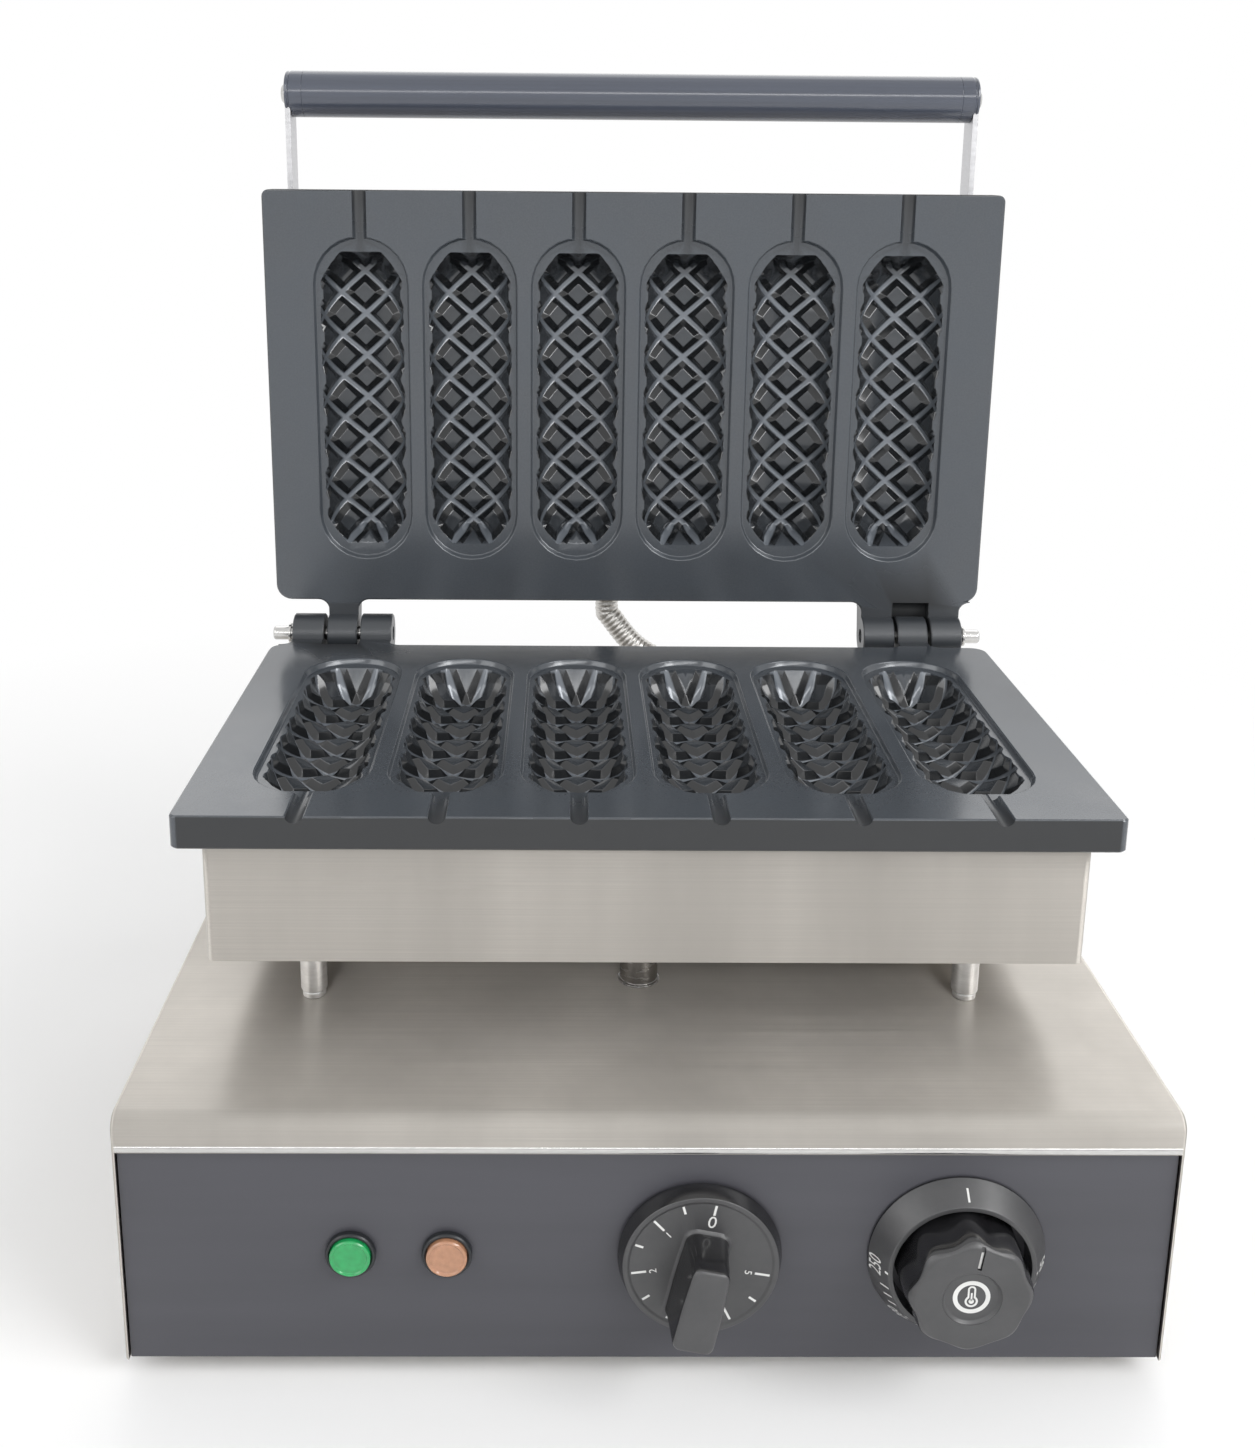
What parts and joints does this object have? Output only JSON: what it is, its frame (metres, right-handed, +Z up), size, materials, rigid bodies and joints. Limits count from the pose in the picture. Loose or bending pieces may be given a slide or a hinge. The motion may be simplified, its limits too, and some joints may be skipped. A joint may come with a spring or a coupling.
{
  "type": "corn dog waffle maker",
  "caption": "Countertop corn dog waffle maker: two hinged cast plates with patterned moulds and stick grooves, on posts over a sheet steel base with timer, thermostat and pilot lamps.",
  "frame": {"origin": "under the middle of the whole object, with its lid open, on the surface that the feet stand on", "axes": "+Z up, +Y from the controls towards the hinges, +X to the right of the person at the controls"},
  "size_m": [0.36, 0.32, 0.4518],
  "materials": {
    "brushed_steel": "brushed along the width",
    "bright_steel": "bright turned steel",
    "coated_aluminium": "dark satin non-stick coating",
    "panel_paint": "dark grey satin paint",
    "black_plastic": "glossy black",
    "handle_plastic": "dark blue-grey satin",
    "dark_plastic": "satin black",
    "grey_plastic": "plain moulded",
    "black_rubber": "matte",
    "green_lens": "clear tinted, facetted inside",
    "amber_lens": "clear tinted, facetted inside",
    "heater_steel": "heat-darkened",
    "brass": "turned"
  },
  "bodies": {
    "base": {"base_cover": "brushed_steel", "front_panel": "panel_paint", "back_panel": "brushed_steel", "base_pan": "brushed_steel", "foot_front_left": "black_rubber", "foot_front_right": "black_rubber", "foot_rear_left": "black_rubber", "foot_rear_right": "black_rubber", "post_front_left": "bright_steel", "post_rear_left": "bright_steel", "post_front_right": "bright_steel", "post_rear_right": "bright_steel", "wire_tube": "bright_steel", "terminal_block": "grey_plastic", "cord_inlet": "black_rubber", "timer_body": "grey_plastic", "thermostat_body": "grey_plastic", "thermostat_dial": "black_plastic", "green_lamp_holder": "dark_plastic", "green_lamp_lens": "green_lens", "amber_lamp_holder": "dark_plastic", "amber_lamp_lens": "amber_lens", "conduit_gland_lower": "bright_steel", "lid_conduit": "bright_steel", "lower_plate": "coated_aluminium", "lower_casing": "brushed_steel", "lower_heater": "heater_steel", "lower_heater_clamp": "brushed_steel", "thermostat_bulb": "bright_steel", "hinge_pin_left": "bright_steel"},
    "lid": {"upper_plate": "coated_aluminium", "upper_casing": "brushed_steel", "upper_heater": "heater_steel", "upper_heater_clamp": "brushed_steel", "hinge_pin_right": "bright_steel", "conduit_gland_upper": "bright_steel", "handle_grip": "handle_plastic", "handle_arm_left": "brushed_steel", "handle_arm_right": "brushed_steel", "handle_cap_left": "dark_plastic", "handle_cap_right": "dark_plastic", "handle_bolt_left": "bright_steel", "handle_bolt_right": "bright_steel", "arm_screw_left_front": "bright_steel", "arm_screw_left_rear": "bright_steel", "arm_screw_right_front": "bright_steel", "arm_screw_right_rear": "bright_steel"},
    "timer_knob": {"timer_knob": "black_plastic", "timer_shaft": "brass"},
    "thermostat_knob": {"thermostat_knob": "black_plastic", "thermostat_shaft": "brass"}
  },
  "joints": [
    {"name": "lid_hinge", "type": "hinge", "parent": "base", "child": "lid", "pos_m": [0, 0.10068, 0.19555], "axis": [1, 0, 0], "range_deg": [0, 90], "deforming": ["lid_conduit"]},
    {"name": "timer_turn", "type": "hinge", "parent": "base", "child": "timer_knob", "pos_m": [0.01764, -0.14, 0.0505], "axis": [0, 1, 0], "range_deg": [0, 300]},
    {"name": "thermostat_turn", "type": "hinge", "parent": "base", "child": "thermostat_knob", "pos_m": [0.10548, -0.14, 0.0505], "axis": [0, 1, 0], "range_deg": [0, 270]}
  ]
}
